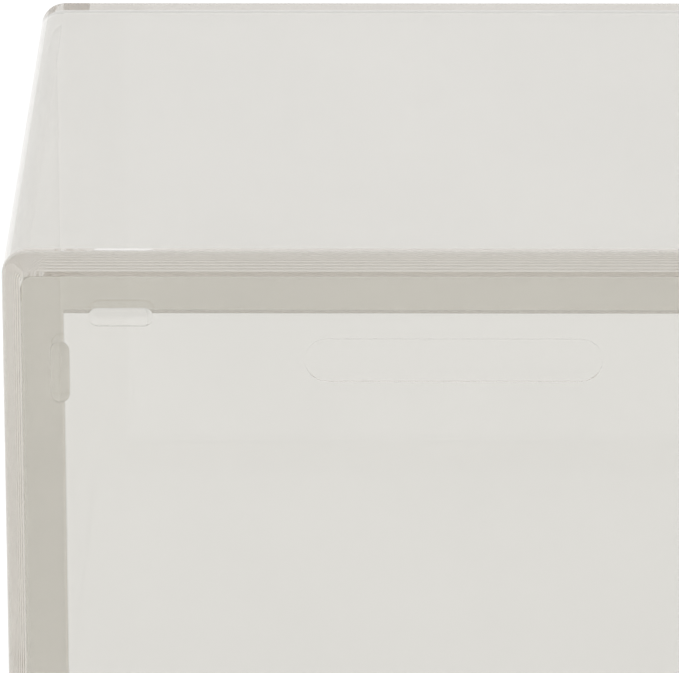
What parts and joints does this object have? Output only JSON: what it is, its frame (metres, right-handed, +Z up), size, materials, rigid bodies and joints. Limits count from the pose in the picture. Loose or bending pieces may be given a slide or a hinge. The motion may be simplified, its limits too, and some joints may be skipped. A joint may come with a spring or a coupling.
{
  "type": "miniature carry case",
  "caption": "Clear rigid box for tabletop miniatures: a deep rounded body with an open front, and a flat front cover with a shallow frame on its back that plugs into the mouth and pulls straight off.",
  "frame": {"origin": "middle of the bottom face, on the surface that the case stands on", "axes": "+Z up, -Y towards the front cover, +X to the right as seen from the front"},
  "size_m": [0.1, 0.1006, 0.1],
  "materials": {
    "clear_body": "polished, clear, faintly warm",
    "clear_frame": "polished, clear, faintly warm",
    "clear_cover": "polished, clear, faintly warm"
  },
  "bodies": {
    "case": {"case_body": "clear_body"},
    "cover": {"front_cover": "clear_cover", "front_frame": "clear_frame"}
  },
  "joints": [
    {"name": "cover_slide", "type": "slide", "parent": "case", "child": "cover", "axis": [0, -1, 0], "range_m": [0, 0.06]}
  ]
}
